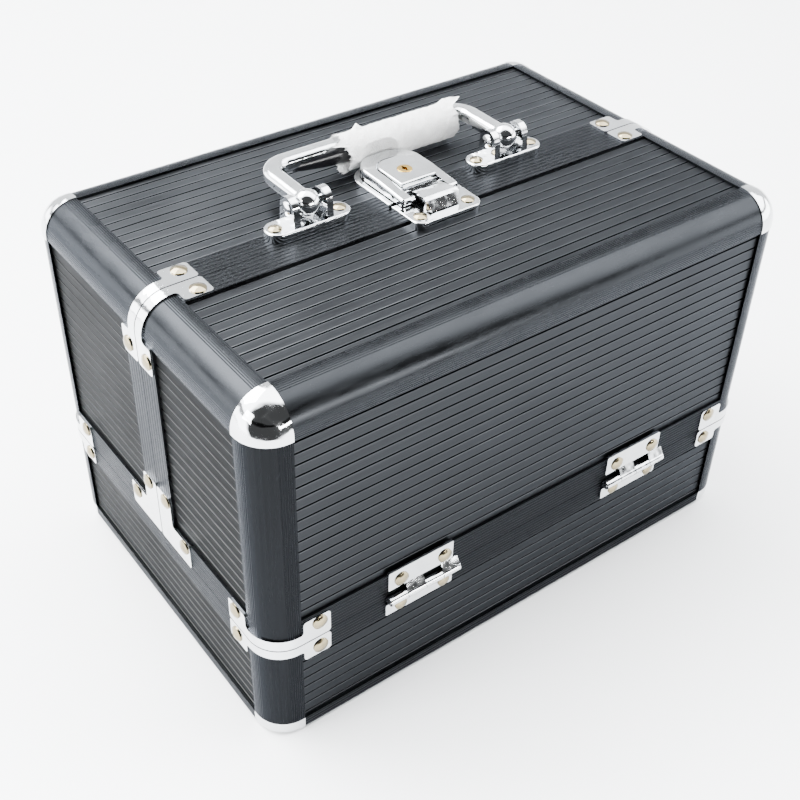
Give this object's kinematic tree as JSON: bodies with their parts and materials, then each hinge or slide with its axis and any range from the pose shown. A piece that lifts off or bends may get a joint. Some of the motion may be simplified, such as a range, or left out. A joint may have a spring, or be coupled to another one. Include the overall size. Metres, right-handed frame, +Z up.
{
  "type": "makeup_train_case",
  "caption": "Black ribbed aluminium makeup train case with chrome corners, twin swing-out lids, cantilever trays, a draw latch and a bail handle.",
  "frame": {"origin": "Middle of the bottom face of the closed case, at the level it stands on.", "axes": "+X runs along the case's length, to the right seen from the front; the front lid is at -Y; +Z is up."},
  "size_m": [0.356, 0.2478, 0.2493],
  "materials": {
    "ribbed_panel": "black anodised, ribbed, satin",
    "profile": "black anodised, finely grooved, satin",
    "bottom_board": "textured sheet",
    "chrome": "polished plate",
    "rivet": "polished, faintly golden",
    "steel": "plated",
    "lining": "short felt",
    "tray": "satin moulding",
    "grip": "smooth moulding",
    "key_brass": "worn polish",
    "foam": "white foam sheet, torn ends"
  },
  "bodies": {
    "base": {"base_floor_panel": "bottom_board", "base_front_panel": "ribbed_panel", "base_back_panel": "ribbed_panel", "base_side_panels": "ribbed_panel", "base_corner_posts": "profile", "base_bottom_trims": "profile", "base_rim": "profile", "base_bottom_corners": "chrome", "base_corner_brackets": "chrome", "base_rivets": "rivet", "base_lining": "lining", "base_hinge_leaves": "chrome", "hinge_pins": "chrome", "base_arm_pivots": "steel"},
    "front_lid": {"front_lid_wall_panel": "ribbed_panel", "front_lid_top_panel": "ribbed_panel", "front_lid_side_panels": "ribbed_panel", "front_lid_corner_posts": "profile", "front_lid_top_edges": "profile", "front_lid_ball_corners": "chrome", "front_lid_bottom_rim": "profile", "front_lid_seam_rim": "profile", "front_lid_corner_brackets": "chrome", "front_lid_seam_brackets": "chrome", "front_lid_rivets": "rivet", "front_lid_lining": "lining", "front_lid_hinge_leaves": "chrome", "front_lid_tray_pivots": "steel", "latch_catch_plate": "chrome"},
    "back_lid": {"back_lid_wall_panel": "ribbed_panel", "back_lid_top_panel": "ribbed_panel", "back_lid_side_panels": "ribbed_panel", "back_lid_corner_posts": "profile", "back_lid_top_edges": "profile", "back_lid_ball_corners": "chrome", "back_lid_bottom_rim": "profile", "back_lid_seam_rim": "profile", "back_lid_corner_brackets": "chrome", "back_lid_seam_brackets": "chrome", "back_lid_rivets": "rivet", "back_lid_lining": "lining", "back_lid_hinge_leaves": "chrome", "back_lid_tray_pivots": "steel", "latch_base_plate": "chrome", "handle_brackets": "chrome", "handle_pins": "chrome"},
    "handle": {"handle_bail": "chrome", "handle_grip": "grip", "handle_wrap": "foam"},
    "latch_lever": {"latch_lever": "chrome", "latch_lock_cover": "chrome", "latch_claw_pin": "chrome"},
    "latch_claw": {"latch_claw": "chrome"},
    "lock_cylinder": {"lock_cylinder": "key_brass"},
    "front_lower_tray": {"front_lower_tray": "tray"},
    "front_upper_tray": {"front_upper_tray": "tray"},
    "front_arms": {"front_tray_arms": "steel"},
    "back_lower_tray": {"back_lower_tray": "tray"},
    "back_upper_tray": {"back_upper_tray": "tray"},
    "back_arms": {"back_tray_arms": "steel"}
  },
  "joints": [
    {"name": "front_lid_hinge", "type": "hinge", "parent": "base", "child": "front_lid", "pos_m": [0, -0.1212, 0.071], "axis": [1, 0, 0], "range_deg": [0, 90]},
    {"name": "front_lower_tray_pivot", "type": "hinge", "parent": "front_lid", "child": "front_lower_tray", "pos_m": [0, -0.0962, 0.096], "axis": [1, 0, 0], "range_deg": [-90, 0]},
    {"name": "front_upper_tray_pivot", "type": "hinge", "parent": "front_lid", "child": "front_upper_tray", "pos_m": [0, -0.0462, 0.146], "axis": [1, 0, 0], "range_deg": [-90, 0]},
    {"name": "front_arm_pivot", "type": "hinge", "parent": "base", "child": "front_arms", "pos_m": [0, -0.0912, 0.066], "axis": [1, 0, 0], "range_deg": [0, 90]},
    {"name": "back_lid_hinge", "type": "hinge", "parent": "base", "child": "back_lid", "pos_m": [0, 0.1212, 0.071], "axis": [-1, 0, 0], "range_deg": [0, 90]},
    {"name": "back_lower_tray_pivot", "type": "hinge", "parent": "back_lid", "child": "back_lower_tray", "pos_m": [0, 0.0962, 0.096], "axis": [-1, 0, 0], "range_deg": [-90, 0]},
    {"name": "back_upper_tray_pivot", "type": "hinge", "parent": "back_lid", "child": "back_upper_tray", "pos_m": [0, 0.0462, 0.146], "axis": [-1, 0, 0], "range_deg": [-90, 0]},
    {"name": "back_arm_pivot", "type": "hinge", "parent": "base", "child": "back_arms", "pos_m": [0, 0.0912, 0.066], "axis": [-1, 0, 0], "range_deg": [0, 90]},
    {"name": "handle_hinge", "type": "hinge", "parent": "back_lid", "child": "handle", "pos_m": [-0.0008, 0.0042, 0.242], "axis": [1, 0, 0], "range_deg": [0, 88]},
    {"name": "latch_lever_hinge", "type": "hinge", "parent": "back_lid", "child": "latch_lever", "pos_m": [0, -0.013, 0.2337], "axis": [1, 0, 0], "range_deg": [0, 80]},
    {"name": "latch_claw_hinge", "type": "hinge", "parent": "latch_lever", "child": "latch_claw", "pos_m": [0, -0.0052, 0.2337], "axis": [1, 0, 0], "range_deg": [-80, 0]},
    {"name": "key_turn", "type": "hinge", "parent": "latch_lever", "child": "lock_cylinder", "pos_m": [0, 0.01, 0.2385], "axis": [0, 0, 1], "range_deg": [0, 90]}
  ],
  "couplings": [
    {"joint": "front_lower_tray_pivot", "follows": "front_lid_hinge", "ratio": -1},
    {"joint": "front_upper_tray_pivot", "follows": "front_lid_hinge", "ratio": -1},
    {"joint": "front_arm_pivot", "follows": "front_lid_hinge", "ratio": 1},
    {"joint": "back_lower_tray_pivot", "follows": "back_lid_hinge", "ratio": -1},
    {"joint": "back_upper_tray_pivot", "follows": "back_lid_hinge", "ratio": -1},
    {"joint": "back_arm_pivot", "follows": "back_lid_hinge", "ratio": 1},
    {"joint": "latch_claw_hinge", "follows": "latch_lever_hinge", "ratio": -1}
  ]
}
